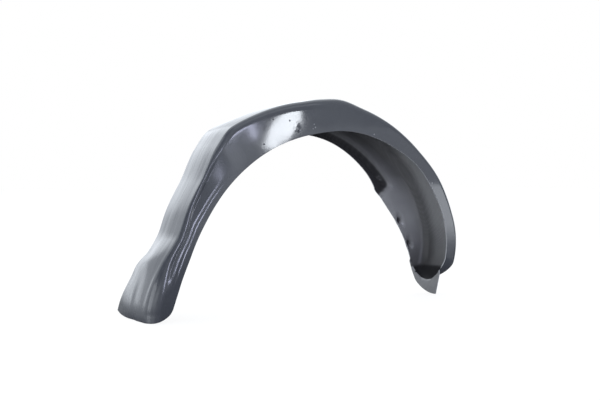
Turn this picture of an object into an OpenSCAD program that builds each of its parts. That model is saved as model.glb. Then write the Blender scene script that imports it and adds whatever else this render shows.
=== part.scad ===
// Wheel arch liner: one vacuum-formed plastic sheet, a U-shaped channel that runs over the wheel.
// The near wall follows the wheel opening, the crown covers the tyre, and the far wall closes the channel.
// Every line along the arch is a radius from the wheel axis, given at a few angles and smoothed between them.
// Angles are measured from the rear horizontal, over the top, to the front foot. The part stands on Z = 0.

/* [Sheet] */
// Thickness of the formed sheet
sheet_t = 2.5; // [1.5:0.1:4]

/* [Arch] */
// Height of the wheel axis above the ground line
axle_h = 36; // [20:1:55]
// Radius of the crown half way down to the rear
crown_r = 370; // [364:1:378]
// Radius of the crown at its crest
crest_r = 373; // [366:1:380]
// Radius of the crown at the rear quarter
quarter_r = 375.5; // [368:0.5:384]
// Depth of the channel, from near wall to far wall
channel_d = 105; // [85:1:125]
// How much lower the crown lies at its far side
crown_fall = 3; // [0:0.5:8]
// Outward bow of the crown across its width
crown_bow = 1.5; // [0:0.5:4]

/* [Front shoulder] */
// Crown radius at the front kink
kink_r = 359; // [352:1:366]
// Crown radius half way along the flat between the kinks
flat_r = 358; // [352:1:364]

/* [Front leg] */
// Crown radius at the waist of the front leg
waist_r = 313; // [308:1:320]
// Crown radius where the front foot meets the ground
foot_r = 359; // [350:1:368]
// Depth that the front foot grows to, reached just below the ground
foot_d = 216; // [190:1:230]
// How much lower the crown lies at the far side of the foot
foot_fall = 25; // [16:1:30]
// Outward bow of the foot across its depth
foot_bow = 10; // [4:1:14]
// Depth of the shallow flute pressed into the foot
flute_h = 1.5; // [0:0.5:4]
// Distance of that flute from the near wall
flute_y = 66; // [55:1:80]
// Width of that flute
flute_w = 40; // [20:1:50]
// Width of the rounded corner at the foot of the near wall
toe_w = 34; // [20:1:40]
// Height of that rounded corner
toe_h = 22; // [12:1:30]

/* [Near edge] */
// Edge radius at the front foot
edge_foot_r = 326; // [318:1:334]
// Edge radius on the shin
edge_shin_r = 293; // [286:1:299]
// Edge radius on the front leg
edge_leg_r = 277; // [270:1:282]
// Edge radius at the top
edge_top_r = 298; // [290:1:306]
// Edge radius at the rear quarter
edge_rear_r = 344; // [336:1:349]
// Edge radius at the heel of the near wall
edge_heel_r = 316; // [310:1:322]

/* [Near wall creases] */
// Distance from the edge to the first crease
lip_w = 10; // [6:0.5:12]
// Distance from the edge to the second crease
step_w = 19; // [16:0.5:24]
// How much wider that grows towards the foot
step_growth = 6; // [0:0.5:8]
// Drop of the sheet between the creases
crease_h = 1.2; // [0.4:0.1:2]

/* [Corners] */
// Rounding between near wall and crown on the rear half
near_round = 10; // [6:1:14]
// The same at the top, where it widens to a broad roll
top_round = 17; // [12:1:24]
// The same at the front foot
foot_round = 30; // [20:1:36]
// Rounding between crown and far wall
far_round = 20; // [14:1:28]
// The same on the front leg, where the corner is crisp
far_leg_round = 5; // [4:1:12]
// The same at the front foot
far_foot_round = 43; // [30:1:55]

/* [Far wall] */
// Edge radius at the front foot
far_foot_r = 314; // [306:1:320]
// Edge radius on the front leg
far_leg_r = 284; // [276:1:290]
// Edge radius over the top
far_top_r = 310; // [302:1:316]
// Edge radius at the notch below the pocket
far_notch_r = 288; // [284:1:297]
// Edge radius at the heel
far_heel_r = 311; // [305:1:317]
// Depth of the long pocket pressed outward into the far wall
pocket_h = 20; // [8:1:26]
// Outer radius of the pocket
pocket_r = 324; // [318:1:330]
// Angle of the pocket's rear end
pocket_rear_a = 36; // [30:1:50]
// Angle of the pocket's front end
pocket_front_a = 126; // [100:1:128]
// Depth of the dimples below the pocket
dimple_h = 8; // [2:0.5:9]

/* [Rear end] */
// Angle at which the crown starts to close
cap_a = 22; // [18:1:26]
// How far the closed end dips in its middle, in degrees
cap_dip = 5; // [3:0.5:6]
// Distance of the end lip from the wheel axis at the ground
end_lip_x = 335; // [328:1:342]
// Lean of the end lip, in mm outward for each mm down
end_lip_lean = 0.3; // [0.1:0.05:0.4]
// Distance from the near wall to the end lip at the ground
end_lip_inset = 44; // [30:1:55]
// Distance from the near wall to the end lip at its root
end_lip_root = 14; // [8:1:22]
// Distance from the far wall to the end lip at the ground
end_lip_far = 9; // [0:1:14]
// Width of the rounded far corner of the end lip
end_corner_w = 46; // [20:1:48]
// Height of that rounded corner
end_corner_h = 31; // [14:1:34]

/* [Smoothness] */
// Rows along the end lip
lip_rows = 4; // [3:1:8]
// Rows round the closed end
cap_rows = 9; // [6:1:16]
// Rows over the arch
arch_rows = 46; // [30:1:80]
// Rows down the foot
foot_rows = 12; // [8:1:20]

/* [Hidden] */

// Angles of the places that the radii above belong to
floor_a = 190;
ankle_a = 183;
shin_a = 175;
calf_a = 168;
waist_a = 158;
thigh_a = 140;
kink_a = 121;
flat_a = 112;
top_a = 92;
crest_a = 80;
rear_a = 34;
heel_a = 3;
end_a = -8;
leg_start_a = 160;

// The least width that a wall keeps where it runs out
least_wall = 3;
// The most that a rounding, the creases and the lip take of the width they lie in
most_round = 0.6;
most_step = 0.8;
most_lip = 0.5;
// Angles where the creases begin and end, and over which they rise and fade
crease_start_a = 128;
crease_rise_a = 14;
crease_end_a = 178;
crease_fade_a = 10;
// How much further in the near wall leans for each mm above the creases, and the corner's share of that
wall_lean = 0.4;
corner_lean = 0.3;
// Angle over which the flute in the foot rises
flute_rise_a = 12;
// Height over which the sides of the end lip slant from its root to the ground
end_lip_h = 50;
// Angle at which the closed end meets the end lip at its sides
cap_end_a = 3.5;

// Radii, depths and roundings along the arch, as [angle, size]
EDGE = [[heel_a, edge_heel_r], [15, mix(edge_heel_r, edge_rear_r, 0.75)], [rear_a - 7, edge_rear_r],
    [rear_a + 6, edge_rear_r], [58, mix(edge_top_r, edge_rear_r, 0.7)],
    [75, mix(edge_top_r, edge_rear_r, 0.38)], [top_a, edge_top_r], [110, mix(edge_leg_r, edge_top_r, 0.5)],
    [130, mix(edge_leg_r, edge_top_r, 0.14)], [148, edge_leg_r], [163, mix(edge_leg_r, edge_shin_r, 0.25)],
    [shin_a, edge_shin_r], [ankle_a, mix(edge_shin_r, edge_foot_r, 0.42)], [floor_a, edge_foot_r]];
CROWN = [[cap_a, mix(crown_r, quarter_r, 0.55)], [rear_a, quarter_r], [48, mix(crown_r, quarter_r, 0.2)],
    [62, crown_r], [72, crown_r], [crest_a, crest_r], [88, mix(flat_r, crest_r, 0.6)],
    [96, mix(flat_r, crest_r, 0.2)], [flat_a, flat_r], [kink_a, kink_r], [128, mix(waist_r, kink_r, 0.75)],
    [thigh_a, mix(waist_r, kink_r, 0.22)], [150, mix(waist_r, kink_r, 0.08)], [waist_a, waist_r],
    [calf_a, mix(waist_r, foot_r, 0.33)], [shin_a, mix(waist_r, foot_r, 0.63)],
    [ankle_a, mix(waist_r, foot_r, 0.9)], [floor_a, foot_r]];
FALL = [[leg_start_a, crown_fall], [calf_a, mix(crown_fall, foot_fall, 0.1)],
    [shin_a, mix(crown_fall, foot_fall, 0.68)], [floor_a, foot_fall]];
BOW = [[leg_start_a, crown_bow], [calf_a, mix(crown_bow, foot_bow, 0.5)], [floor_a, foot_bow]];
DEPTH = [[leg_start_a - 3, channel_d], [165, mix(channel_d, foot_d, 0.04)],
    [171, mix(channel_d, foot_d, 0.34)], [178, mix(channel_d, foot_d, 0.58)], [floor_a, foot_d]];
NEAR_ROUND = [[60, near_round], [85, top_round], [100, mix(near_round, top_round, 0.6)],
    [kink_a, near_round], [leg_start_a, near_round + 2], [178, mix(near_round, foot_round, 0.8)],
    [floor_a, foot_round]];
FAR_ROUND = [[100, far_round], [125, far_leg_round], [150, far_leg_round],
    [170, mix(far_leg_round, far_foot_round, 0.3)], [floor_a, far_foot_round]];
STEP_WIDTH = [[148, step_w], [170, step_w + step_growth]];
FAR_EDGE = [[end_a, end_lip_x], [4, mix(far_heel_r, end_lip_x, 0.3)], [11, far_heel_r],
    [25, mix(far_notch_r, far_heel_r, 0.35)], [31, mix(far_notch_r, far_heel_r, 0.1)],
    [pocket_rear_a, far_notch_r], [pocket_rear_a + 5, mix(far_notch_r, far_top_r, 0.55)],
    [pocket_rear_a + 12, mix(far_notch_r, far_top_r, 0.8)], [68, far_top_r],
    [90, mix(far_leg_r, far_top_r, 0.75)], [120, mix(far_leg_r, far_top_r, 0.3)], [150, far_leg_r],
    [shin_a, mix(far_leg_r, far_foot_r, 0.6)], [floor_a, far_foot_r]];

// The stretches of a section, from the near edge to the far edge, how many strips each has, and the
// share of the end lip's width that each runs out into
STRETCHES = ["lip", "step", "near wall", "near corner", "crown", "far corner", "far wall", "ridge",
    "pocket floor"];
STRIPS = [1, 2, 3, 5, 6, 5, 1, 4, 4];
SHARE = [0.02, 0.02, 0.06, 0.1, 0.5, 0.12, 0.04, 0.06, 0.08];
function share_before(k) = k == 0 ? 0 : SHARE[k - 1] + share_before(k - 1);

// The points of a section, as [name of the stretch, place along it, place across the end lip]
SECTION = [for (k = [0:len(STRETCHES) - 1]) for (i = [0:STRIPS[k] - 1])
    [STRETCHES[k], i / STRIPS[k], share_before(k) + SHARE[k] * i / STRIPS[k]], ["pocket floor", 1, 1]];
cols = len(SECTION);

// Width of the sloping ridge along the pocket, and the angle over which its ends slope
ridge_w = 16;
pocket_end_a = 4;

// Dimples below the pocket, as [angle, radius]
DIMPLES = [[23.5, 309], [13, 319]];
dimple_a = 4;
dimple_r = 13;

function mix(a, b, t) = a + (b - a) * t;
function clamp(t) = min(max(t, 0), 1);
function ease(t) = let (u = clamp(t)) u * u * (3 - 2 * u);

// A smooth curve through [x, value] pairs that never overshoots them
function secant(k, i) = (k[i + 1][1] - k[i][1]) / (k[i + 1][0] - k[i][0]);
function slope(k, i) =
    i == 0 ? secant(k, 0)
    : i == len(k) - 1 ? secant(k, i - 1)
    : secant(k, i - 1) * secant(k, i) <= 0 ? 0
    : 2 * secant(k, i - 1) * secant(k, i) / (secant(k, i - 1) + secant(k, i));
function find(k, x, i = 0) = i >= len(k) - 2 || x < k[i + 1][0] ? i : find(k, x, i + 1);
function curve(k, x) =
    let (i = find(k, x), h = k[i + 1][0] - k[i][0], t = clamp((x - k[i][0]) / h))
    (2 * t ^ 3 - 3 * t ^ 2 + 1) * k[i][1] + (t ^ 3 - 2 * t ^ 2 + t) * h * slope(k, i)
    + (3 * t ^ 2 - 2 * t ^ 3) * k[i + 1][1] + (t ^ 3 - t ^ 2) * h * slope(k, i + 1);

// A rounded corner from p to r, with q where the sharp corner would be
function rounded(p, q, r, t) =
    let (w = sqrt(0.5), a = (1 - t) ^ 2, b = 2 * w * t * (1 - t), c = t ^ 2)
    (a * p + b * q + c * r) / (a + b + c);

// Radius at which the plane of the end lip lies
function lip_plane_r(a) =
    (end_lip_x - end_lip_lean * axle_h) / (cos(a) + end_lip_lean * sin(a));

// Depth of the pocket and the dimples in the far wall
function pocket(a, r) =
    pocket_h * ease((pocket_r - r) / ridge_w + 0.5) * ease((a - pocket_rear_a) / pocket_end_a)
    * ease((pocket_front_a - a) / pocket_end_a);
function dimples(a, r) =
    dimple_h * max([for (d = DIMPLES) ease(1 - norm([(a - d[0]) / dimple_a, (r - d[1]) / dimple_r]))]);

function in_far_wall(a, r, d) = [r, d + pocket(a, r) + dimples(a, r)];

// Depth of the flute at distance y from the near wall, which fades out up the leg
function flute(a, y) =
    flute_h * ease((a - calf_a) / flute_rise_a) * ease(1 - abs(y - flute_y) / (flute_w / 2));

// A point of the section at angle a, as [radius, y]. The fraction open is 1 along the channel and falls
// to 0 where the rear end closes.
function section(a, part, t, open = 1) =
    let (
        e = curve(EDGE, a),
        c = max(mix(lip_plane_r(a), curve(CROWN, a), open), e + least_wall),
        f = c - curve(FALL, a) * open,
        d = curve(DEPTH, a),
        fe = min(curve(FAR_EDGE, a), f - least_wall),
        near_r = min(curve(NEAR_ROUND, a), (c - e) * most_round),
        far_r = min(curve(FAR_ROUND, a), (f - fe) * most_round),
        crease = crease_h * ease((a - crease_start_a) / crease_rise_a)
            * ease((crease_end_a - a) / crease_fade_a),
        step = min(curve(STEP_WIDTH, a), (c - e - near_r) * most_step),
        lip = min(lip_w, step * most_lip),
        lean = crease * (1 + max(c - e - near_r - step, 0) * wall_lean),
        fall = (f - c) / d,
        near_start = [c - near_r, lean],
        near_end = [c + fall * near_r, near_r],
        far_start = [c + fall * (d - far_r), d - far_r],
        far_end = [f - far_r, d],
        ridge_top = min(pocket_r + ridge_w / 2, mix(fe, far_end[0], 0.85)),
        ridge_foot = min(pocket_r - ridge_w / 2, mix(fe, far_end[0], 0.45))
    )
    part == "lip" ? [e + lip * t, 0]
    : part == "step" ? [mix(e + lip, e + step, t), crease * t]
    : part == "near wall" ? mix([e + step, crease], near_start, t)
    : part == "near corner" ? rounded(near_start, [c, lean * corner_lean], near_end, t)
    : part == "crown" ? let (p = mix(near_end, far_start, t))
        [p[0] + curve(BOW, a) * sin(180 * t) - flute(a, p[1]), p[1]]
    : part == "far corner" ? rounded(far_start, [f, d], far_end, t)
    : part == "far wall" ? in_far_wall(a, mix(far_end[0], ridge_top, t), d)
    : part == "ridge" ? in_far_wall(a, mix(ridge_top, ridge_foot, t), d)
    : in_far_wall(a, mix(ridge_foot, fe, t), d);

function in_space(a, p) = [p[0] * cos(a), p[1], axle_h + p[0] * sin(a)];

// The end lip: its plane, its trimmed outline and its upper end, for a place s from 0 to 1 across it
function lip_point(s, z) =
    let (
        up = clamp(z / end_lip_h),
        near_y = mix(end_lip_inset, end_lip_root, up),
        far_y = channel_d - end_lip_far * (1 - up)
    )
    [end_lip_x - end_lip_lean * z, mix(near_y, far_y, s), z];
function lip_foot_z(s) =
    let (w = channel_d - end_lip_far - end_lip_inset, u = clamp((s * w - w + end_corner_w) / end_corner_w))
    end_corner_h * (1 - sqrt(1 - u ^ 2));
function cap_angle(s) = cap_end_a - cap_dip * (1 - (2 * s - 1) ^ 2);
function cap_end_z(s) = in_space(cap_angle(s), [lip_plane_r(cap_angle(s)), 0])[2];

// Rows of points, each from the near edge to the far edge
LIP_ROWS = [for (k = [0:lip_rows - 1]) [for (p = SECTION)
    lip_point(p[2], mix(lip_foot_z(p[2]), cap_end_z(p[2]), k / lip_rows))]];
CAP_ROWS = [for (k = [0:cap_rows]) [for (p = SECTION)
    let (
        turn = 90 * k / cap_rows,
        a = cap_a - (cap_a - cap_angle(p[2])) * cos(turn),
        place = section(a, p[0], p[1], sin(turn)),
        spread = ease(1 - turn / 40),
        q = in_space(a, [mix(place[0], lip_plane_r(a), spread), 0])
    )
    [q[0], mix(place[1], lip_point(p[2], q[2])[1], spread), q[2]]]];
ARCH_ROWS = [for (k = [1:arch_rows])
    let (a = mix(cap_a, leg_start_a, k / arch_rows))
    [for (p = SECTION) in_space(a, section(a, p[0], p[1]))]];

// The foot runs down to the ground, or to the rounded corner of the near wall
function in_near_wall(part) =
    part == "lip" || part == "step" || part == "near wall" || part == "near corner";
function toe_z(a, part, r) =
    let (u = in_near_wall(part) ? clamp(1 - (r - curve(EDGE, a)) / toe_w) : 0)
    toe_h * (1 - sqrt(1 - u ^ 2));
function foot_angle(part, t, a = ankle_a, tries = 8) =
    tries == 0 ? a
    : let (r = section(a, part, t)[0])
        foot_angle(part, t, 180 + asin((axle_h - toe_z(a, part, r)) / r), tries - 1);
FOOT_ENDS = [for (p = SECTION) foot_angle(p[0], p[1])];
FOOT_ROWS = [for (k = [1:foot_rows]) [for (j = [0:cols - 1])
    let (a = mix(leg_start_a, FOOT_ENDS[j], k / foot_rows))
    in_space(a, section(a, SECTION[j][0], SECTION[j][1]))]];
OUTER = concat(LIP_ROWS, CAP_ROWS, ARCH_ROWS, FOOT_ROWS);
rows = len(OUTER);

// The inner face lies one sheet thickness in. At both ends it slides along the sheet, so that the cut
// edges stand flat on the ground.
function along(i, j) = OUTER[min(i + 1, rows - 1)][j] - OUTER[max(i - 1, 0)][j];
function over(i, j) = OUTER[i][min(j + 1, cols - 1)] - OUTER[i][max(j - 1, 0)];
function inward(i, j) = let (n = cross(along(i, j), over(i, j))) n / norm(n);
function inner(i, j) =
    let (
        p = OUTER[i][j] + inward(i, j) * sheet_t,
        d = along(i, j),
        is_end = i == 0 || i == rows - 1
    )
    is_end ? p - d * (p[2] - OUTER[i][j][2]) / d[2] : p;
INNER = [for (i = [0:rows - 1]) [for (j = [0:cols - 1]) inner(i, j)]];

// Both faces as one list of points, set over the middle of the space that they fill
RAW = [for (face = [OUTER, INNER]) for (row = face) for (p = row) p];
function middle(axis) = let (v = [for (p = RAW) p[axis]]) (min(v) + max(v)) / 2;
CENTRE = [middle(0), middle(1), 0];
POINTS = [for (p = RAW) p - CENTRE];

// Two triangles for the four points a, b, c, d round a quad
function quad(a, b, c, d) = [[a, b, c], [a, c, d]];
function at(face, i, j) = (face * rows + i) * cols + j;
FACES = concat(
    [for (i = [0:rows - 2]) for (j = [0:cols - 2]) each
        quad(at(0, i, j), at(0, i, j + 1), at(0, i + 1, j + 1), at(0, i + 1, j))],
    [for (i = [0:rows - 2]) for (j = [0:cols - 2]) each
        quad(at(1, i, j), at(1, i + 1, j), at(1, i + 1, j + 1), at(1, i, j + 1))],
    [for (i = [0:rows - 2]) each
        quad(at(0, i, 0), at(0, i + 1, 0), at(1, i + 1, 0), at(1, i, 0))],
    [for (i = [0:rows - 2]) each
        quad(at(0, i, cols - 1), at(1, i, cols - 1), at(1, i + 1, cols - 1), at(0, i + 1, cols - 1))],
    [for (j = [0:cols - 2]) each
        quad(at(0, 0, j), at(1, 0, j), at(1, 0, j + 1), at(0, 0, j + 1))],
    [for (j = [0:cols - 2]) each
        quad(at(0, rows - 1, j), at(0, rows - 1, j + 1), at(1, rows - 1, j + 1), at(1, rows - 1, j))]
);

module liner() {
    color([0.33, 0.34, 0.37]) polyhedron(points = POINTS, faces = FACES);
}

liner();
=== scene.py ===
"""Wheel arch liner: the look of the part, over the frame that the CAD model gives.

The sheet is drawn again as a finer mesh from the same sizes as the CAD source, with the soft forming
marks that the photo shows. Sizes of the sheet are in millimetres, and its angles in degrees from the
rear horizontal, over the top, to the front foot. Everything in the scene itself is in metres.
"""

import math

import bpy
import numpy as np
from mathutils import Euler, Matrix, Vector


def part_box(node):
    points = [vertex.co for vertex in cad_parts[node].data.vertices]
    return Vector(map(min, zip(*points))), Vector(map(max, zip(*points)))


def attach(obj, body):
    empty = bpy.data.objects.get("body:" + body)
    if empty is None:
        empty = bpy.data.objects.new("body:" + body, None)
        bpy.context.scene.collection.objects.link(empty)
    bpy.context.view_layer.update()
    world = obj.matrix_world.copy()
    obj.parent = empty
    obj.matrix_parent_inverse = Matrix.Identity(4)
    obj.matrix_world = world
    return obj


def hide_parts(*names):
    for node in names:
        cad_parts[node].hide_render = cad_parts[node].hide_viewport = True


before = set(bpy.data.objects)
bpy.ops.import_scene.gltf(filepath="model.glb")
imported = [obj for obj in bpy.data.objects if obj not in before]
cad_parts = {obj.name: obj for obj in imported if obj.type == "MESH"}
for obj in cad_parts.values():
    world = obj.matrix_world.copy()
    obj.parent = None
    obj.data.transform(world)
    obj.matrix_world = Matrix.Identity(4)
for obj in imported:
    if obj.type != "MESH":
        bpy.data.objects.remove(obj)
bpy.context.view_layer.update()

# Millimetres in a metre
MM_IN_M = 1000

# Sizes of the sheet, as in the CAD source
SHEET_T = 2.5
AXLE_H = 36.0
CROWN_R, CREST_R, QUARTER_R = 370.0, 373.0, 375.5
CHANNEL_D, CROWN_FALL, CROWN_BOW = 105.0, 3.0, 1.5
KINK_R, FLAT_R, WAIST_R, FOOT_R = 359.0, 358.0, 313.0, 359.0
FOOT_D, FOOT_FALL, FOOT_BOW = 216.0, 25.0, 10.0
FLUTE_H, FLUTE_Y, FLUTE_W = 1.5, 66.0, 40.0
TOE_W, TOE_H = 34.0, 22.0
EDGE_FOOT_R, EDGE_SHIN_R, EDGE_LEG_R = 326.0, 293.0, 277.0
EDGE_TOP_R, EDGE_REAR_R, EDGE_HEEL_R = 298.0, 344.0, 316.0
LIP_W, STEP_W, STEP_GROWTH, CREASE_H = 10.0, 19.0, 6.0, 1.2
NEAR_ROUND_R, TOP_ROUND, FOOT_ROUND = 10.0, 17.0, 30.0
FAR_ROUND_R, FAR_LEG_ROUND, FAR_FOOT_ROUND = 20.0, 5.0, 43.0
FAR_FOOT_R, FAR_LEG_R, FAR_TOP_R, FAR_NOTCH_R, FAR_HEEL_R = 314.0, 284.0, 310.0, 288.0, 311.0
POCKET_H, POCKET_R, POCKET_REAR_A, POCKET_FRONT_A = 20.0, 324.0, 36.0, 126.0
RIDGE_W, POCKET_END_A = 16.0, 4.0
DIMPLES, DIMPLE_A, DIMPLE_R, DIMPLE_H = [(23.5, 309.0), (13.0, 319.0)], 4.0, 13.0, 8.0
CAP_A, CAP_DIP, CAP_END_A = 22.0, 5.0, 3.5
END_LIP_X, END_LIP_LEAN, END_LIP_INSET, END_LIP_ROOT, END_LIP_H = 335.0, 0.3, 44.0, 14.0, 50.0
END_LIP_FAR, END_CORNER_W, END_CORNER_H = 9.0, 46.0, 31.0

# Angles of the places that the radii above belong to
FLOOR_A, ANKLE_A, SHIN_A, CALF_A, LEG_START_A, WAIST_A = 190.0, 183.0, 175.0, 168.0, 160.0, 158.0
THIGH_A, KINK_A, FLAT_A, TOP_A, CREST_A = 140.0, 121.0, 112.0, 92.0, 80.0
REAR_A, HEEL_A, END_A = 34.0, 3.0, -8.0

# The least width that a wall keeps, and the most that roundings, creases and lip take of their stretch
LEAST_WALL = 3.0
MOST_ROUND, MOST_STEP, MOST_LIP = 0.6, 0.8, 0.5
# The most of the far wall that lies below the top and the foot of the ridge
MOST_TO_RIDGE_TOP, MOST_TO_RIDGE_FOOT = 0.85, 0.45
# Where the creases and the flute rise and fade, and how the near wall leans above the creases
CREASE_START_A, CREASE_RISE_A, CREASE_END_A, CREASE_FADE_A = 128.0, 14.0, 178.0, 10.0
FLUTE_RISE_A = 12.0
WALL_LEAN, CORNER_LEAN = 0.4, 0.3
# Turn round the closed end over which the section spreads into the end lip
SPREAD_TURN = 40.0
# Each crease is a narrow step that takes this share of the stretch between them
CREASE_SHARE = 0.32
# Middle of the space that the sheet fills, which stands over the origin
MIDDLE_X, MIDDLE_Y = 3.154, 101.462

# The stretches of a section, from the near edge to the far edge, as (name, strips, share of the end lip)
STRETCHES = [
    ("lip", 4, 0.02), ("step", 16, 0.02), ("near wall", 10, 0.06), ("near corner", 14, 0.1),
    ("crown", 24, 0.5), ("far corner", 14, 0.12), ("far wall", 3, 0.04), ("ridge", 10, 0.06),
    ("pocket floor", 12, 0.08),
]
NEAR_CORNER = [name for name, strips, share in STRETCHES].index("near corner")
# Rows of the fine mesh, and how often the angle of the trimmed foot is worked out again
LIP_ROWS, CAP_ROWS, ARCH_ROWS, FOOT_ROWS = 14, 32, 230, 64
FOOT_TRIES = 8
# Space in metres left inside the box of the CAD part, and the angle of an edge that stays sharp
BOX_SPARE = 2e-5
SHARP_ANGLE = 50.0


def mix(a, b, t):
    return a + (b - a) * t


def clamp(t):
    return np.clip(t, 0.0, 1.0)


def ease(t):
    u = clamp(t)
    return u * u * (3 - 2 * u)


# Radii, depths and roundings along the arch, as (angle, size)
EDGE = [
    (HEEL_A, EDGE_HEEL_R), (15, mix(EDGE_HEEL_R, EDGE_REAR_R, 0.75)), (REAR_A - 7, EDGE_REAR_R),
    (REAR_A + 6, EDGE_REAR_R), (58, mix(EDGE_TOP_R, EDGE_REAR_R, 0.7)),
    (75, mix(EDGE_TOP_R, EDGE_REAR_R, 0.38)), (TOP_A, EDGE_TOP_R), (110, mix(EDGE_LEG_R, EDGE_TOP_R, 0.5)),
    (130, mix(EDGE_LEG_R, EDGE_TOP_R, 0.14)), (148, EDGE_LEG_R), (163, mix(EDGE_LEG_R, EDGE_SHIN_R, 0.25)),
    (SHIN_A, EDGE_SHIN_R), (ANKLE_A, mix(EDGE_SHIN_R, EDGE_FOOT_R, 0.42)), (FLOOR_A, EDGE_FOOT_R),
]
CROWN = [
    (CAP_A, mix(CROWN_R, QUARTER_R, 0.55)), (REAR_A, QUARTER_R), (48, mix(CROWN_R, QUARTER_R, 0.2)),
    (62, CROWN_R), (72, CROWN_R), (CREST_A, CREST_R), (88, mix(FLAT_R, CREST_R, 0.6)),
    (96, mix(FLAT_R, CREST_R, 0.2)), (FLAT_A, FLAT_R), (KINK_A, KINK_R), (128, mix(WAIST_R, KINK_R, 0.75)),
    (THIGH_A, mix(WAIST_R, KINK_R, 0.22)), (150, mix(WAIST_R, KINK_R, 0.08)), (WAIST_A, WAIST_R),
    (CALF_A, mix(WAIST_R, FOOT_R, 0.33)), (SHIN_A, mix(WAIST_R, FOOT_R, 0.63)),
    (ANKLE_A, mix(WAIST_R, FOOT_R, 0.9)), (FLOOR_A, FOOT_R),
]
FALL = [
    (LEG_START_A, CROWN_FALL), (CALF_A, mix(CROWN_FALL, FOOT_FALL, 0.1)),
    (SHIN_A, mix(CROWN_FALL, FOOT_FALL, 0.68)), (FLOOR_A, FOOT_FALL),
]
BOW = [(LEG_START_A, CROWN_BOW), (CALF_A, mix(CROWN_BOW, FOOT_BOW, 0.5)), (FLOOR_A, FOOT_BOW)]
DEPTH = [
    (LEG_START_A - 3, CHANNEL_D), (165, mix(CHANNEL_D, FOOT_D, 0.04)), (171, mix(CHANNEL_D, FOOT_D, 0.34)),
    (178, mix(CHANNEL_D, FOOT_D, 0.58)), (FLOOR_A, FOOT_D),
]
NEAR_ROUND = [
    (60, NEAR_ROUND_R), (85, TOP_ROUND), (100, mix(NEAR_ROUND_R, TOP_ROUND, 0.6)), (KINK_A, NEAR_ROUND_R),
    (LEG_START_A, NEAR_ROUND_R + 2), (178, mix(NEAR_ROUND_R, FOOT_ROUND, 0.8)), (FLOOR_A, FOOT_ROUND),
]
FAR_ROUND = [
    (100, FAR_ROUND_R), (125, FAR_LEG_ROUND), (150, FAR_LEG_ROUND),
    (170, mix(FAR_LEG_ROUND, FAR_FOOT_ROUND, 0.3)), (FLOOR_A, FAR_FOOT_ROUND),
]
STEP_WIDTH = [(148, STEP_W), (170, STEP_W + STEP_GROWTH)]
FAR_EDGE = [
    (END_A, END_LIP_X), (4, mix(FAR_HEEL_R, END_LIP_X, 0.3)), (11, FAR_HEEL_R),
    (25, mix(FAR_NOTCH_R, FAR_HEEL_R, 0.35)), (31, mix(FAR_NOTCH_R, FAR_HEEL_R, 0.1)),
    (POCKET_REAR_A, FAR_NOTCH_R), (POCKET_REAR_A + 5, mix(FAR_NOTCH_R, FAR_TOP_R, 0.55)),
    (POCKET_REAR_A + 12, mix(FAR_NOTCH_R, FAR_TOP_R, 0.8)), (68, FAR_TOP_R),
    (90, mix(FAR_LEG_R, FAR_TOP_R, 0.75)), (120, mix(FAR_LEG_R, FAR_TOP_R, 0.3)), (150, FAR_LEG_R),
    (SHIN_A, mix(FAR_LEG_R, FAR_FOOT_R, 0.6)), (FLOOR_A, FAR_FOOT_R),
]


def curve(keys, x):
    """A smooth curve through (x, value) pairs that never overshoots them."""
    xs = np.array([key[0] for key in keys], float)
    ys = np.array([key[1] for key in keys], float)
    secant = np.diff(ys) / np.diff(xs)
    before, after = secant[:-1], secant[1:]
    total = np.where(before + after == 0, 1, before + after)
    inner = np.where(before * after <= 0, 0, 2 * before * after / total)
    slope = np.concatenate([secant[:1], inner, secant[-1:]])
    i = np.clip(np.searchsorted(xs, x, side="right") - 1, 0, len(xs) - 2)
    h = xs[i + 1] - xs[i]
    t = clamp((x - xs[i]) / h)
    return (
        (2 * t**3 - 3 * t**2 + 1) * ys[i]
        + (t**3 - 2 * t**2 + t) * h * slope[i]
        + (3 * t**2 - 2 * t**3) * ys[i + 1]
        + (t**3 - t**2) * h * slope[i + 1]
    )


def rounded(p, q, r, t):
    """A rounded corner from p to r, with q where the sharp corner would be."""
    a, b, c = (1 - t) ** 2, 2 * math.sqrt(0.5) * t * (1 - t), t**2
    return [(a * p[i] + b * q[i] + c * r[i]) / (a + b + c) for i in (0, 1)]


def lip_plane_r(a):
    """Radius at which the plane of the end lip lies."""
    turn = np.radians(a)
    return (END_LIP_X - END_LIP_LEAN * AXLE_H) / (np.cos(turn) + END_LIP_LEAN * np.sin(turn))


def in_far_wall(a, r, d):
    """A point of the far wall, pressed outward by the pocket and the dimples."""
    ends = ease((a - POCKET_REAR_A) / POCKET_END_A) * ease((POCKET_FRONT_A - a) / POCKET_END_A)
    pocket = POCKET_H * ease((POCKET_R - r) / RIDGE_W + 0.5) * ends
    near = [ease(1 - np.hypot((a - da) / DIMPLE_A, (r - dr) / DIMPLE_R)) for da, dr in DIMPLES]
    return r, d + pocket + DIMPLE_H * np.max(near, 0)


def flute(a, y):
    """Depth of the flute at distance y from the near wall, which fades out up the leg."""
    return FLUTE_H * ease((a - CALF_A) / FLUTE_RISE_A) * ease(1 - abs(y - FLUTE_Y) / (FLUTE_W / 2))


def creased(t, crease):
    """The stretch between the creases, which drops in two narrow steps."""
    return crease * (ease(t / CREASE_SHARE) + ease((t - 1) / CREASE_SHARE + 1)) / 2


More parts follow.
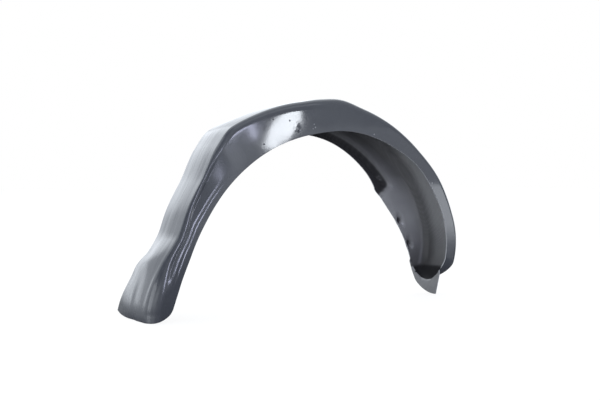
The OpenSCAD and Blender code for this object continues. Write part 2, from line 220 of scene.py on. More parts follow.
def section(a, part, t, opened=1.0):
    """Radius and depth of the section at angle a. opened falls from 1 to 0 where the rear end closes."""
    e = curve(EDGE, a)
    c = np.maximum(mix(lip_plane_r(a), curve(CROWN, a), opened), e + LEAST_WALL)
    f = c - curve(FALL, a) * opened
    d = curve(DEPTH, a)
    fe = np.minimum(curve(FAR_EDGE, a), f - LEAST_WALL)
    near_r = np.minimum(curve(NEAR_ROUND, a), (c - e) * MOST_ROUND)
    far_r = np.minimum(curve(FAR_ROUND, a), (f - fe) * MOST_ROUND)
    crease = ease((a - CREASE_START_A) / CREASE_RISE_A) * ease((CREASE_END_A - a) / CREASE_FADE_A) * CREASE_H
    step = np.minimum(curve(STEP_WIDTH, a), (c - e - near_r) * MOST_STEP)
    lip = np.minimum(LIP_W, step * MOST_LIP)
    lean = crease * (1 + np.maximum(c - e - near_r - step, 0) * WALL_LEAN)
    fall = (f - c) / d
    near_start, near_end = (c - near_r, lean), (c + fall * near_r, near_r)
    far_start, far_end = (c + fall * (d - far_r), d - far_r), (f - far_r, d)
    ridge_top = np.minimum(POCKET_R + RIDGE_W / 2, mix(fe, far_end[0], MOST_TO_RIDGE_TOP))
    ridge_foot = np.minimum(POCKET_R - RIDGE_W / 2, mix(fe, far_end[0], MOST_TO_RIDGE_FOOT))
    crown_y = mix(near_end[1], far_start[1], t)
    crown_r = mix(near_end[0], far_start[0], t) + curve(BOW, a) * np.sin(np.pi * t) - flute(a, crown_y)
    stretches = {
        "lip": (e + lip * t, 0 * a),
        "step": (mix(e + lip, e + step, t), creased(t, crease)),
        "near wall": (mix(e + step, near_start[0], t), mix(crease, near_start[1], t)),
        "near corner": rounded(near_start, (c, lean * CORNER_LEAN), near_end, t),
        "crown": (crown_r, crown_y),
        "far corner": rounded(far_start, (f, d), far_end, t),
        "far wall": in_far_wall(a, mix(far_end[0], ridge_top, t), d),
        "ridge": in_far_wall(a, mix(ridge_top, ridge_foot, t), d),
        "pocket floor": in_far_wall(a, mix(ridge_foot, fe, t), d),
    }
    r, y = np.zeros(part.shape), np.zeros(part.shape)
    for k, (name, _, _) in enumerate(STRETCHES):
        here = part == k
        r[here] = np.broadcast_to(stretches[name][0], part.shape)[here]
        y[here] = np.broadcast_to(stretches[name][1], part.shape)[here]
    return r, y


def in_space(a, r, y):
    """The point at angle a, radius r and depth y, with X to the rear and Z up."""
    turn = np.radians(a)
    return np.stack([r * np.cos(turn), y, AXLE_H + r * np.sin(turn)], -1)


def places():
    """Where the points of a section lie: stretch, place along it and place across the end lip."""
    strips = [row[1] for row in STRETCHES]
    share = np.array([row[2] for row in STRETCHES])
    part = np.concatenate([[k] * n for k, n in enumerate(strips)] + [[len(strips) - 1]])
    t = np.concatenate([np.arange(n) / n for n in strips] + [[1.0]])
    s = (np.cumsum(share) - share)[part] + share[part] * t
    return part, t, s


def end_lip_y(s, z):
    """Distance of the end lip from the near wall, at place s across it and height z."""
    up = clamp(z / END_LIP_H)
    near_y = mix(END_LIP_INSET, END_LIP_ROOT, up)
    far_y = CHANNEL_D - END_LIP_FAR * (1 - up)
    return mix(near_y, far_y, s)


def end_lip_foot(s):
    """Height of the trimmed end of the lip, with its rounded far corner."""
    width = CHANNEL_D - END_LIP_FAR - END_LIP_INSET
    u = clamp((s * width - width + END_CORNER_W) / END_CORNER_W)
    return END_CORNER_H * (1 - np.sqrt(1 - u**2))


def cap_angle(s):
    """Angle at which the closed end meets the end lip."""
    return CAP_END_A - CAP_DIP * (1 - (2 * s - 1) ** 2)


def lip_rows(s):
    """Rows up the end lip."""
    root = AXLE_H + lip_plane_r(cap_angle(s)) * np.sin(np.radians(cap_angle(s)))
    for k in range(LIP_ROWS):
        z = mix(end_lip_foot(s), root, k / LIP_ROWS)
        yield np.stack([END_LIP_X - END_LIP_LEAN * z, end_lip_y(s, z), z], -1)


def cap_rows(part, t, s):
    """Rows round the closed end, which spread into the end lip."""
    for k in range(CAP_ROWS + 1):
        turn = 90 * k / CAP_ROWS
        a = CAP_A - (CAP_A - cap_angle(s)) * math.cos(math.radians(turn))
        r, y = section(a, part, t, math.sin(math.radians(turn)))
        spread = ease(1 - turn / SPREAD_TURN)
        q = in_space(a, mix(r, lip_plane_r(a), spread), 0 * a)
        yield np.stack([q[:, 0], mix(y, end_lip_y(s, q[:, 2]), spread), q[:, 2]], -1)


def foot_ends(part, t):
    """Angles at which the foot meets the ground, or the rounded corner of the near wall."""
    ends = np.full(len(part), ANKLE_A)
    for _ in range(FOOT_TRIES):
        r = section(ends, part, t)[0]
        u = np.where(part > NEAR_CORNER, 0, clamp(1 - (r - curve(EDGE, ends)) / TOE_W))
        toe_z = TOE_H * (1 - np.sqrt(1 - u**2))
        ends = 180 + np.degrees(np.arcsin((AXLE_H - toe_z) / r))
    return ends


def outer_face():
    """Rows of points over the outer face, from the end lip over the arch to the foot."""
    part, t, s = places()
    rows = [*lip_rows(s), *cap_rows(part, t, s)]
    for k in range(1, ARCH_ROWS + 1):
        a = np.full(len(part), mix(CAP_A, LEG_START_A, k / ARCH_ROWS))
        rows.append(in_space(a, *section(a, part, t)))
    ends = foot_ends(part, t)
    for k in range(1, FOOT_ROWS + 1):
        a = mix(LEG_START_A, ends, k / FOOT_ROWS)
        rows.append(in_space(a, *section(a, part, t)))
    return np.array(rows)


def steps(points):
    """Step from the row before to the row after, for every row."""
    step = np.empty_like(points)
    step[1:-1] = points[2:] - points[:-2]
    step[0] = points[1] - points[0]
    step[-1] = points[-1] - points[-2]
    return step


def inner_face(outer):
    """The same rows one sheet thickness in, with both cut ends level."""
    along = steps(outer)
    over = steps(outer.swapaxes(0, 1)).swapaxes(0, 1)
    normal = np.cross(along, over)
    inner = outer + normal / np.linalg.norm(normal, axis=-1, keepdims=True) * SHEET_T
    for end in (0, -1):
        slide = (inner[end, :, 2] - outer[end, :, 2]) / along[end, :, 2]
        inner[end] -= along[end] * slide[:, None]
    return inner


def in_cad_box(points):
    """The points in metres, set just inside the box of the CAD part."""
    low, high = (np.array(corner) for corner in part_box("liner"))
    share = (points - points.min(0)) / (points.max(0) - points.min(0))
    return low + BOX_SPARE + share * (high - low - 2 * BOX_SPARE)


def quads(rows, cols):
    """Quads of the outer face, of the inner face, and of the cut edges all round."""

    def quad(*corners):
        numbers = [(face * rows + i) * cols + j for face, i, j in corners]
        return np.stack(numbers, -1).reshape(-1, 4)

    i, j = np.meshgrid(np.arange(rows - 1), np.arange(cols - 1), indexing="ij")
    outside = quad((0, i, j), (0, i, j + 1), (0, i + 1, j + 1), (0, i + 1, j))
    inside = quad((1, i, j), (1, i + 1, j), (1, i + 1, j + 1), (1, i, j + 1))
    i, j = np.arange(rows - 1), np.arange(cols - 1)
    last_i, last_j = rows - 1, cols - 1
    near = quad((0, i, 0), (0, i + 1, 0), (1, i + 1, 0), (1, i, 0))
    far = quad((0, i, last_j), (1, i, last_j), (1, i + 1, last_j), (0, i + 1, last_j))
    lip = quad((0, 0, j), (1, 0, j), (1, 0, j + 1), (0, 0, j + 1))
    foot = quad((0, last_i, j), (0, last_i, j + 1), (1, last_i, j + 1), (1, last_i, j))
    return outside, inside, np.concatenate([near, far, lip, foot])


def sheet_mesh():
    """One closed mesh with three materials: outer face, inner face and cut edge."""
    outer = outer_face()
    inner = inner_face(outer)
    points = in_cad_box(np.concatenate([outer.reshape(-1, 3), inner.reshape(-1, 3)]))
    faces = quads(*outer.shape[:2])
    mesh = bpy.data.meshes.new("sheet")
    mesh.from_pydata(points.tolist(), [], np.concatenate(faces).tolist())
    mesh.polygons.foreach_set("material_index", np.repeat([0, 1, 2], [len(group) for group in faces]))
    mesh.polygons.foreach_set("use_smooth", [True] * len(mesh.polygons))
    mesh.update()
    mesh.set_sharp_from_angle(angle=math.radians(SHARP_ANGLE))
    return mesh


PLASTIC_IOR = 1.5
WHITE = (1, 1, 1, 1)


class Graph:
    """Nodes of one material or of the sky, made and joined in short lines."""

    def __init__(self, owner, place="Object"):
        owner.use_nodes = True
        self.tree = owner.node_tree
        self.tree.nodes.clear()
        self.place = self.add("ShaderNodeTexCoord").outputs[place]
        split = self.add("ShaderNodeSeparateXYZ", {"Vector": self.place}).outputs
        self.x, self.y, self.z = split["X"], split["Y"], split["Z"]

    def add(self, kind, inputs=None, **settings):
        """A new node. An input is joined to what it is given, or set to it."""
        node = self.tree.nodes.new(kind)
        for key, value in settings.items():
            setattr(node, key, value)
        for key, value in (inputs or {}).items():
            if isinstance(value, bpy.types.NodeSocket):
                self.tree.links.new(value, node.inputs[key])
            else:
                node.inputs[key].default_value = value
        return node

    def noise(self, scale=1.0, detail=3.0, rough=0.5, at=None, warp=0.0):
        inputs = {
            "Vector": at or self.place, "Scale": scale, "Detail": detail,
            "Roughness": rough, "Distortion": warp,
        }
        return self.add("ShaderNodeTexNoise", inputs).outputs["Fac"]

    def stretched(self, scale=(1, 1, 1), turn=(0, 0, 0)):
        inputs = {"Vector": self.place, "Scale": scale, "Rotation": turn}
        return self.add("ShaderNodeMapping", inputs).outputs[0]

    def ramp(self, value, low, high, at_low=0.0, at_high=1.0):
        """A level that changes smoothly from at_low to at_high while the value goes from low to high."""
        inputs = {"Value": value, "From Min": low, "From Max": high, "To Min": at_low, "To Max": at_high}
        return self.add("ShaderNodeMapRange", inputs, interpolation_type="SMOOTHSTEP").outputs["Result"]

    def combine(self, kind, first, *others):
        """One kind of arithmetic over all the values, from the first to the last."""
        for other in others:
            first = self.add("ShaderNodeMath", {0: first, 1: other}, operation=kind).outputs[0]
        return first

    def times(self, *values):
        return self.combine("MULTIPLY", *values)

    def plus(self, *values):
        return self.combine("ADD", *values)

    def most(self, *values):
        return self.combine("MAXIMUM", *values)

    def vector(self, kind, other=(0, 0, 0)):
        """A number from the place and another vector."""
        return self.add("ShaderNodeVectorMath", {0: self.place, 1: other}, operation=kind).outputs["Value"]

    def blend(self, share, a, b):
        return self.add("ShaderNodeMix", {0: share, 6: a, 7: b}, data_type="RGBA").outputs[2]

    def seen(self):
        """1 for what the camera sees directly, and 0 for what is mirrored or lit."""
        return self.add("ShaderNodeLightPath").outputs["Is Camera Ray"]

    def bumps(self, *layers):
        """The surface turned by one bump after the other, each a pattern and its height in metres."""
        inputs = {}
        for pattern, height in layers:
            inputs.update({"Height": pattern, "Distance": height})
            inputs["Normal"] = self.add("ShaderNodeBump", inputs).outputs["Normal"]
        return inputs["Normal"]

    def plastic(self, tint, rough, normal, **others):
        inputs = {"Base Color": tint, "Roughness": rough, "Normal": normal, "IOR": PLASTIC_IOR}
        shader = self.add("ShaderNodeBsdfPrincipled", {**inputs, **others})
        self.add("ShaderNodeOutputMaterial", {"Surface": shader.outputs["BSDF"]})


# Small marks on the near wall, as (angle, radius, size): dark pits, and pale specks that are painted
# highlights
PITS = [(98.8, 305.6, 3.0), (101.7, 328.2, 1.8), (107.6, 338.1, 1.8), (113.9, 301.7, 2.0)]
# Pale specks beside the marks, painted as highlights
PAINTED_GLINTS = [(92.1, 316.5, 1.7), (91.6, 310.5, 2.2), (92.6, 308.0, 1.5), (66.3, 328.6, 2.2), (35.6, 350.1, 2.2)]
# The broad dent beside the largest mark, and the rubbed patch where the creases start
DENT = (99.7, 316.0, 14.0)
RUBBED = (134.0, 308.0, 75.0)


def mark(g, angle, radius, size, depth=0.0):
    """1 at a point of the sheet, falling to 0 at a distance from it."""
    x, y, z = in_space(angle, radius, depth)
    point = ((x - MIDDLE_X) / MM_IN_M, (y - MIDDLE_Y) / MM_IN_M, z / MM_IN_M)
    return g.ramp(g.vector("DISTANCE", point), 0.0, size / MM_IN_M, 1.0, 0.0)


def marks(g, spots):
    return g.most(*[mark(g, *spot) for spot in spots])


def arch_angle(g):
    """Angle about the wheel axis in radians, from the rear over the top."""
    x = g.plus(g.x, MIDDLE_X / MM_IN_M)
    z = g.plus(g.z, -AXLE_H / MM_IN_M)
    return g.combine("ARCTAN2", z, x)


# Tints of the outer face, and how strongly the dust, the pits and the pale specks of painted highlight cover
# it
GLOSS_DEEP, GLOSS_PALE = (0.050, 0.054, 0.066, 1), (0.064, 0.069, 0.080, 1)
DUST_TINT, PIT_TINT, GLINT_TINT = (0.30, 0.31, 0.33, 1), (0.012, 0.013, 0.016, 1), (0.36, 0.37, 0.38, 1)
DUST_COVER, PIT_COVER, GLINT_COVER = 0.35, 0.55, 0.8
# Patterns of the dust and of the clouds that mix the two shades, and the part of each that shows
DUST_SCALE, DUST_SHOWN = 900.0, dict(low=0.69, high=0.74)
CLOUD_SCALE, CLOUD_SHOWN = 9.0, dict(low=0.35, high=0.65)

# Roughness of the outer face: polished, with scuffs, a worn foot and the rubbed patch
POLISHED = dict(low=0.3, high=0.7, at_low=0.04, at_high=0.08)
SCUFF_STRETCH, SCUFF_TURN, SCUFF_ROUGH = (9.0, 40.0, 120.0), (0.3, 0.5, 0.2), 0.08
SCUFF_SHOWN = dict(low=0.58, high=0.80)
WORN_FOOT = dict(low=0.03, high=0.16, at_low=0.16, at_high=0.0)
RUBBED_ROUGH = 0.24

# Patterns of the outer face, in waves to the metre or to the radian, and their heights in metres.
# The streaks fade out up the leg and stay off the near wall.
WAVE_SCALE, WAVE_H = 9.0, 0.0005
LINES_ALONG, LINES_ACROSS, LINES_H = 2.2, 42.0, 0.0007
STREAK_STRETCH, STREAK_H = (60.0, 75.0, 6.0), 0.0005
STREAK_FADE = dict(low=0.02, high=0.13, at_low=1.0, at_high=0.0)
OFF_NEAR_WALL = dict(low=-0.098, high=-0.085)
DENT_SCALE, DENT_H = 140.0, 0.00012
PEEL_SCALE, PEEL_H = 520.0, 0.0000015
PIT_H = 0.0008


def gloss_tint(g, cloud, pits):
    """Dark grey in two shades, with specks of dust, dark pits and pale specks of painted highlight."""
    tint = g.blend(g.ramp(cloud, **CLOUD_SHOWN), GLOSS_DEEP, GLOSS_PALE)
    specks = g.ramp(g.noise(DUST_SCALE, detail=2.0, rough=0.6), **DUST_SHOWN)
    tint = g.blend(g.times(specks, DUST_COVER), tint, DUST_TINT)
    tint = g.blend(g.times(pits, PIT_COVER), tint, PIT_TINT)
    # Pale specks of painted highlight
    return g.blend(g.times(marks(g, PAINTED_GLINTS), GLINT_COVER), tint, GLINT_TINT)


def gloss_rough(g, cloud):
    """Polished, but duller in scuffs, low on the foot and where the creases start."""
    scuff_place = g.stretched(SCUFF_STRETCH, SCUFF_TURN)
    scuff = g.ramp(g.noise(detail=5.0, rough=0.65, at=scuff_place, warp=0.4), **SCUFF_SHOWN)
    worn = g.most(g.ramp(g.z, **WORN_FOOT), g.times(mark(g, *RUBBED), RUBBED_ROUGH))
    return g.plus(g.ramp(cloud, **POLISHED), g.times(scuff, SCUFF_ROUGH), worn)


def gloss_bumps(g, pits):
    """Forming waves, lines drawn along the arch, streaks low down, a dent, fine peel and pits."""
    line_place = {"X": g.times(arch_angle(g), LINES_ALONG), "Y": g.times(g.y, LINES_ACROSS)}
    line_place = g.add("ShaderNodeCombineXYZ", line_place).outputs[0]
    streaks = g.noise(detail=2.0, at=g.stretched(STREAK_STRETCH))
    streaks = g.times(streaks, g.ramp(g.z, **STREAK_FADE), g.ramp(g.y, **OFF_NEAR_WALL))
    return g.bumps(
        (g.noise(WAVE_SCALE, detail=1.0, rough=0.3), WAVE_H),
        (g.noise(detail=2.0, rough=0.45, at=line_place), LINES_H),
        (streaks, STREAK_H),
        (g.times(mark(g, *DENT), g.noise(DENT_SCALE, detail=2.0)), DENT_H),
        (g.noise(PEEL_SCALE, detail=2.0), PEEL_H),
        (g.times(pits, -1.0), PIT_H),
    )


def gloss_plastic():
    """The smooth outer face."""
    material = bpy.data.materials.new("gloss_plastic")
    g = Graph(material)
    cloud = g.noise(CLOUD_SCALE, detail=4.0, rough=0.55)
    pits = marks(g, PITS)
    g.plastic(gloss_tint(g, cloud, pits), gloss_rough(g, cloud), gloss_bumps(g, pits))
    return material


# Painted shade in the dimple hollows of the inside, and the pale patch of painted highlight at the rear of
# the pocket, as (angle, radius, size, depth)
SHADED_HOLLOWS = [(23.5, 306.0, 16.0, 110.0), (13.0, 316.0, 15.0, 110.0), (37.5, 304.0, 16.0, 116.0)]
HOLLOW_SHADE = 0.62
# A pale patch painted at the rear of the pocket, as a painted highlight
POCKET_GLEAM = (42.1, 324.8, 13.0, 122.0)
POCKET_GLEAM_SCALE, POCKET_GLEAM_SHOWN = 160.0, dict(low=0.35, high=0.65)

# Tints of the inside: clean, and pale for dust and painted light, each in two shades, then the painted shade
# of the hollows and the lines of the grain
CLEAN_DEEP, CLEAN_PALE = (0.040, 0.039, 0.042, 1), (0.054, 0.053, 0.057, 1)
DUST_AND_LIGHT_DEEP, DUST_AND_LIGHT_PALE = (0.282, 0.283, 0.291, 1), (0.350, 0.350, 0.357, 1)
PAINTED_SHADE_TINT, GRAIN_TINT, GRAIN_COVER = (0.018, 0.018, 0.020, 1), (0.36, 0.365, 0.38, 1), 0.42
# Clouds that mix the two shades
SHADE_SCALE, SHADE_SHOWN = 11.0, dict(low=0.3, high=0.7)

# Where the inside is painted pale, for dust and for painted light on the faces that the light falls on, and
# stays darker as painted shade high up, right at the bottom, in the far corner and in the pocket, by height
# Z and by place Y across the channel, in metres in the part's frame
DUST_AND_LIGHT_UP_HIGH = dict(low=0.24, high=0.41, at_low=1.0, at_high=0.18)
DUST_AND_LIGHT_LOW_DOWN = dict(low=0.05, high=0.17, at_low=0.2, at_high=1.0)
DUST_AND_LIGHT_ON_CROWN = dict(low=-0.042, high=-0.014, at_low=1.0, at_high=0.42)
DUST_AND_LIGHT_ON_FAR_WALL = dict(low=-0.006, high=0.001)
DUST_AND_LIGHT_UP_FAR_WALL = dict(low=0.20, high=0.27, at_low=1.0, at_high=0.4)
DUST_AND_LIGHT_IN_POCKET = dict(low=0.006, high=0.014, at_low=1.0, at_high=0.1)

# The end lip, by its distance past the lip's plane in millimetres and by height in metres
LIP_BEFORE, LIP_PAST = 2.0, 1.0
LIP_ROOT = dict(low=0.052, high=0.060, at_low=1.0, at_high=0.0)
# Painted shade in the closed end, by angle in radians, and in the pocket, by place Y across the channel
CLOSED_END_SHADE = dict(low=0.040, high=0.085, at_low=1.0, at_high=0.0)
POCKET_SHADE = dict(low=0.0025, high=0.014, at_low=0.0, at_high=0.55)

# What painted shade does to the dust and painted light, to the tint and to the shine, and what dust and
# painted light do to the grain and the shine
PAINTED_SHADE_TO_DUST_AND_LIGHT = dict(low=0.1, high=0.6, at_low=1.0, at_high=0.0)
PAINTED_SHADE_TO_TINT = dict(low=0.2, high=0.9, at_low=0.0, at_high=0.8)
PAINTED_SHADE_TO_SHINE = dict(low=0.0, high=0.6, at_low=1.0, at_high=0.4)
DUST_AND_LIGHT_TO_GRAIN = dict(low=0.0, high=1.0, at_low=0.15, at_high=1.0)
DUST_AND_LIGHT_TO_SHINE = dict(low=0.0, high=0.6, at_low=0.25, at_high=0.5)
# Roughness of the inside
SATIN_SCALE, SATIN = 30.0, dict(low=0.3, high=0.7, at_low=0.30, at_high=0.42)

# Directions of the two sets of lines that the grain is woven from, and the heights of the bumps
GRAIN_TURNS, GRAIN_SCALE = [(0.5, 0.3, 0.8), (-0.6, 0.4, -0.7)], 80.0
GRAIN_H = 0.00012
SWELL_SCALE, SWELL_H = 14.0, 0.0006


def end_lip(g):
    """1 on the end lip."""
    plane = END_LIP_X - MIDDLE_X
    out = g.plus(g.x, g.times(g.z, END_LIP_LEAN))
    on_plane = g.ramp(out, (plane - LIP_BEFORE) / MM_IN_M, (plane + LIP_PAST) / MM_IN_M, 1.0, 0.0)
    return g.times(on_plane, g.ramp(g.z, **LIP_ROOT))


def painted_shade(g, lip):
    """How much shade is painted on the closed end, the pocket and the hollows."""
    closed_end_shade = g.combine("SUBTRACT", g.ramp(arch_angle(g), **CLOSED_END_SHADE), lip)
    return g.most(closed_end_shade, g.ramp(g.y, **POCKET_SHADE), g.times(marks(g, SHADED_HOLLOWS), HOLLOW_SHADE))


def dust_and_painted_light(g, lip, painted_shade_level):
    """How pale the inside is painted, for dust and for painted light on the lit faces and on the end lip,
    with a painted highlight at the rear of the pocket.
    """
    height = g.times(g.ramp(g.z, **DUST_AND_LIGHT_UP_HIGH), g.ramp(g.z, **DUST_AND_LIGHT_LOW_DOWN))
    far_wall = g.times(g.ramp(g.y, **DUST_AND_LIGHT_ON_FAR_WALL), g.ramp(g.z, **DUST_AND_LIGHT_UP_FAR_WALL))
    across = g.times(g.most(g.ramp(g.y, **DUST_AND_LIGHT_ON_CROWN), far_wall), g.ramp(g.y, **DUST_AND_LIGHT_IN_POCKET))
    # The end lip is painted pale all over as painted light; elsewhere the pale share follows height and
    # place, for dust and painted light
    lit_or_dusty = g.times(g.most(lip, g.times(height, across)), g.ramp(painted_shade_level, **PAINTED_SHADE_TO_DUST_AND_LIGHT))
    # Painted highlight at the rear of the pocket, broken up by noise
    worn = g.ramp(g.noise(POCKET_GLEAM_SCALE, rough=0.6), **POCKET_GLEAM_SHOWN)
    return g.most(lit_or_dusty, g.times(mark(g, *POCKET_GLEAM), worn))


def weave(g, turn):
    """Fine parallel lines in one direction."""
    inputs = {"Distortion": 1.5, "Detail": 2.0, "Detail Scale": 3.0}
    inputs.update({"Vector": g.stretched(turn=turn), "Scale": GRAIN_SCALE})
    return g.add("ShaderNodeTexWave", inputs).outputs["Fac"]


def grained_plastic():
    """The embossed inside, pale with dust and painted light, and dark with painted shade in its hollows, its
    closed end and its pocket.
    """
    material = bpy.data.materials.new("grained_plastic")
    g = Graph(material)
    lip = end_lip(g)
    painted_shade_level = painted_shade(g, lip)
    dust_and_light = dust_and_painted_light(g, lip, painted_shade_level)
    shade = g.ramp(g.noise(SHADE_SCALE, detail=4.0, rough=0.6), **SHADE_SHOWN)
    clean = g.blend(shade, CLEAN_DEEP, CLEAN_PALE)
    # Pale tints stand for dust and for painted light
    tint = g.blend(dust_and_light, clean, g.blend(shade, DUST_AND_LIGHT_DEEP, DUST_AND_LIGHT_PALE))
    # Painted shade in the hollows, the closed end and the pocket
    tint = g.blend(g.ramp(painted_shade_level, **PAINTED_SHADE_TO_TINT), tint, PAINTED_SHADE_TINT)
    grain = g.times(*[weave(g, turn) for turn in GRAIN_TURNS], g.ramp(dust_and_light, **DUST_AND_LIGHT_TO_GRAIN))
    tint = g.blend(g.times(grain, GRAIN_COVER), tint, GRAIN_TINT)
    rough = g.ramp(g.noise(SATIN_SCALE), **SATIN)
    swell = g.noise(SWELL_SCALE, detail=2.0, rough=0.4)
    shine = g.times(g.ramp(dust_and_light, **DUST_AND_LIGHT_TO_SHINE), g.ramp(painted_shade_level, **PAINTED_SHADE_TO_SHINE))
    normal = g.bumps((grain, GRAIN_H), (swell, SWELL_H))
    g.plastic(tint, rough, normal, **{"Specular IOR Level": shine})
    return material


# The sawn edge: its tints, pale from the cut and in part a painted highlight, the stretch of its saw marks,
# their height in metres and their roughness
SAWN_AND_HIGHLIGHT_DEEP, SAWN_AND_HIGHLIGHT_PALE = (0.34, 0.35, 0.37, 1), (0.52, 0.53, 0.55, 1)
SAW_STRETCH, SAW_H = (900.0, 260.0, 900.0), 0.0002
SAWN = dict(low=0.3, high=0.7, at_low=0.5, at_high=0.75)


def cut_edge():
    """The edge left by the saw, pale from the cut and in part a painted highlight."""
    material = bpy.data.materials.new("cut_edge")
    g = Graph(material)
    saw = g.noise(rough=0.6, at=g.stretched(SAW_STRETCH))
    g.plastic(g.blend(saw, SAWN_AND_HIGHLIGHT_DEEP, SAWN_AND_HIGHLIGHT_PALE), g.ramp(saw, **SAWN), g.bumps((saw, SAW_H)))
    return material


def liner():
    piece = bpy.data.objects.new("liner_sheet", sheet_mesh())
    bpy.context.collection.objects.link(piece)
    for material in (gloss_plastic(), grained_plastic(), cut_edge()):
        piece.data.materials.append(material)
    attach(piece, "root")
    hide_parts("liner")


# The floor lies just below the part and looks white, but mirrors darker near the part
FLOOR_SIZE, FLOOR_GAP = 30, 0.0006
FLOOR_SEEN, FLOOR_NEAR, FLOOR_FAR = (0.9, 0.9, 0.9, 1), (0.22, 0.22, 0.22, 1), (0.85, 0.85, 0.85, 1)
FLOOR_AWAY = dict(low=1.1, high=2.0)
FLOOR_BEHIND = dict(low=0.25, high=0.9, at_low=0.0, at_high=0.75)
FLOOR_LEFT = dict(low=-0.52, high=-0.34, at_low=0.75, at_high=0.0)
# Strength of the white that the camera sees on the floor, and its share of what the camera sees there
FLOOR_GLOW, FLOOR_GLOW_SHARE = 1.06, 0.82


def floor():
    """A pale floor that keeps the part's shadow."""
    bpy.ops.mesh.primitive_plane_add(size=FLOOR_SIZE, location=(0, 0, -FLOOR_GAP))
    plane = bpy.context.object
    plane.name = "floor"
    material = bpy.data.materials.new("pale_floor")
    g = Graph(material)
    seen = g.seen()
    sides = g.most(g.ramp(g.y, **FLOOR_BEHIND), g.ramp(g.x, **FLOOR_LEFT))
    pale = g.most(g.ramp(g.vector("LENGTH"), **FLOOR_AWAY), sides)
    tint = g.blend(seen, g.blend(pale, FLOOR_NEAR, FLOOR_FAR), FLOOR_SEEN)
    matt = g.add("ShaderNodeBsdfDiffuse", {"Color": tint}).outputs[0]
    glow = g.add("ShaderNodeEmission", {"Color": WHITE, "Strength": FLOOR_GLOW}).outputs[0]
    both = g.add("ShaderNodeMixShader", {0: g.times(seen, FLOOR_GLOW_SHARE), 1: matt, 2: glow})
    g.add("ShaderNodeOutputMaterial", {"Surface": both.outputs[0]})
    plane.data.materials.append(material)


# Strength of the sky on the camera's side and behind the part, and where it changes
SKY_FRONT, SKY_BACK = 0.78, 1.72
SKY_CHANGE = dict(low=-0.05, high=0.65)
# Soft cards in the sky, as direction, angle of the edge, angle of the core and gain
CARDS = [((-0.73, -0.30, 0.61), 45.0, 16.0, 0.15), ((-0.05, 0.90, 0.43), 21.0, 6.0, 1.9)]

# Tints of the lamps, the middle of the arch, and the distance of the small lamps in front of it
COOL, LILAC = (0.90, 0.945, 1.0), (0.74, 0.77, 1.0)
ARCH_MIDDLE = (-0.05, 0.0, 0.22)
SMALL_LAMP_Y = -1.5


def straight(x, z):
    """Place and aim of a small lamp that shines straight along Y."""
    return (x, SMALL_LAMP_Y, z), (x, 0.0, z)


# Soft lights, as name, shape, place, aim, width, height, turn about the aim, radiance and tint
LIGHTS = [
    ("left_high", "RECTANGLE", (-2.0, 0.3, 1.9), ARCH_MIDDLE, 1.2, 1.2, 0, 0.9, COOL),
    ("left_low", "RECTANGLE", (-2.4, -0.2, 0.45), ARCH_MIDDLE, 1.4, 0.8, 0, 4.2, COOL),
    ("front_right", "RECTANGLE", (1.4, -2.0, 0.25), ARCH_MIDDLE, 1.6, 0.45, 0, 0.6, COOL),
    ("leg_lines", "RECTANGLE", (-0.09, -2.1, 0.50), (-0.28, -0.1, 0.22), 0.70, 0.30, 55, 12.5, LILAC),
    ("right_low", "ELLIPSE", (1.85, -1.6, 0.08), (0.34, 0, 0.12), 0.7, 0.35, 0, 3.4, COOL),
    ("foot_back", "ELLIPSE", (-1.0, 2.0, 0.30), (-0.35, 0.0, 0.06), 0.7, 0.6, 0, 0.8, COOL),
    ("foot_soft", "ELLIPSE", (-1.85, -1.38, 0.34), (-0.34, -0.1, 0.04), 1.4, 0.5, 0, 2.2, COOL),
    ("top", "RECTANGLE", (0.1, 0.2, 2.4), ARCH_MIDDLE, 1.8, 1.8, 0, 0.4, COOL),
    ("top_front", "RECTANGLE", (0.5, -1.5, 2.2), ARCH_MIDDLE, 1.4, 1.0, 0, 0.8, COOL),
    ("blob", "ELLIPSE", *straight(0.785, 0.432), 0.21, 0.088, 46, 22.0, COOL),
    ("chevron_arm", "ELLIPSE", *straight(0.589, 0.433), 0.13, 0.035, 28, 15.0, LILAC),
    ("chevron_leg", "ELLIPSE", *straight(0.655, 0.430), 0.085, 0.030, -70, 13.5, LILAC),
]


def aimed(direction):
    """Turn that points an item's -Z along a direction."""
    x, y, z = direction / np.linalg.norm(direction)
    return (math.acos(-z), 0.0, math.atan2(-x, y))


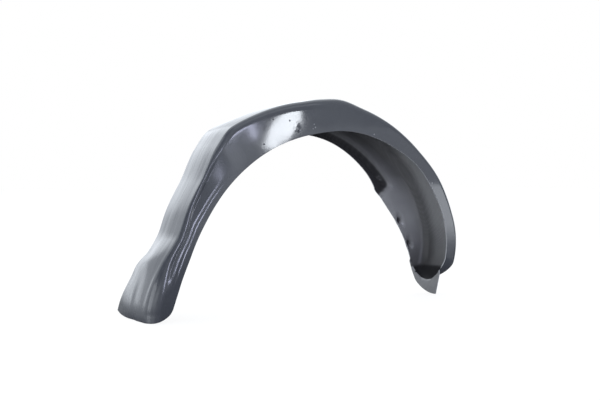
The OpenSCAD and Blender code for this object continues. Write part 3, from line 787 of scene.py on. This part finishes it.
def softbox(name, shape, place, aim, width, height, turn, radiance, tint):
    """An area light that shows with the same radiance, whatever its size."""
    light = bpy.data.lights.new(name, "AREA")
    light.shape = shape
    light.size = width
    light.size_y = height
    light.color = tint
    area = width * height * (math.pi / 4 if shape == "ELLIPSE" else 1)
    light.energy = math.pi * area * radiance
    item = bpy.data.objects.new(name, light)
    bpy.context.collection.objects.link(item)
    direction = np.array(aim, float) - np.array(place, float)
    roll = Matrix.Rotation(math.radians(turn), 4, "Z")
    item.matrix_world = Matrix.Translation(place) @ Euler(aimed(direction)).to_matrix().to_4x4() @ roll


def sky():
    """A soft sky with its cards, which the camera itself sees as plain white."""
    world = bpy.data.worlds.new("studio")
    bpy.context.scene.world = world
    g = Graph(world, "Generated")
    level = g.ramp(g.y, **SKY_CHANGE, at_low=SKY_FRONT, at_high=SKY_BACK)
    for direction, edge, core, gain in CARDS:
        ends = [math.cos(math.radians(angle)) for angle in (edge, core)]
        level = g.times(level, g.ramp(g.vector("DOT_PRODUCT", direction), *ends, 1.0, gain))
    seen = g.seen()
    strength = g.add("ShaderNodeMix", {0: seen, 2: level, 3: 1.0}).outputs[0]
    tint = g.blend(seen, (*COOL, 1), WHITE)
    shade = g.add("ShaderNodeBackground", {"Color": tint, "Strength": strength})
    g.add("ShaderNodeOutputWorld", {"Surface": shade.outputs[0]})


# The camera, as it was fitted to the outline in the photo
LENS, SENSOR_W = 54.0, 36.0
CAMERA_PLACE = (-0.970817, -1.523962, 0.2502)
CAMERA_TILT, CAMERA_TURN = 88.6, -33.0


def camera():
    data = bpy.data.cameras.new("camera")
    data.lens = LENS
    data.sensor_width = SENSOR_W
    item = bpy.data.objects.new("camera", data)
    bpy.context.collection.objects.link(item)
    item.location = CAMERA_PLACE
    item.rotation_euler = (math.radians(CAMERA_TILT), 0.0, math.radians(CAMERA_TURN))
    bpy.context.scene.camera = item


liner()
floor()
sky()
for light in LIGHTS:
    softbox(*light)
camera()

scene = bpy.context.scene
scene.view_settings.view_transform = "Standard"
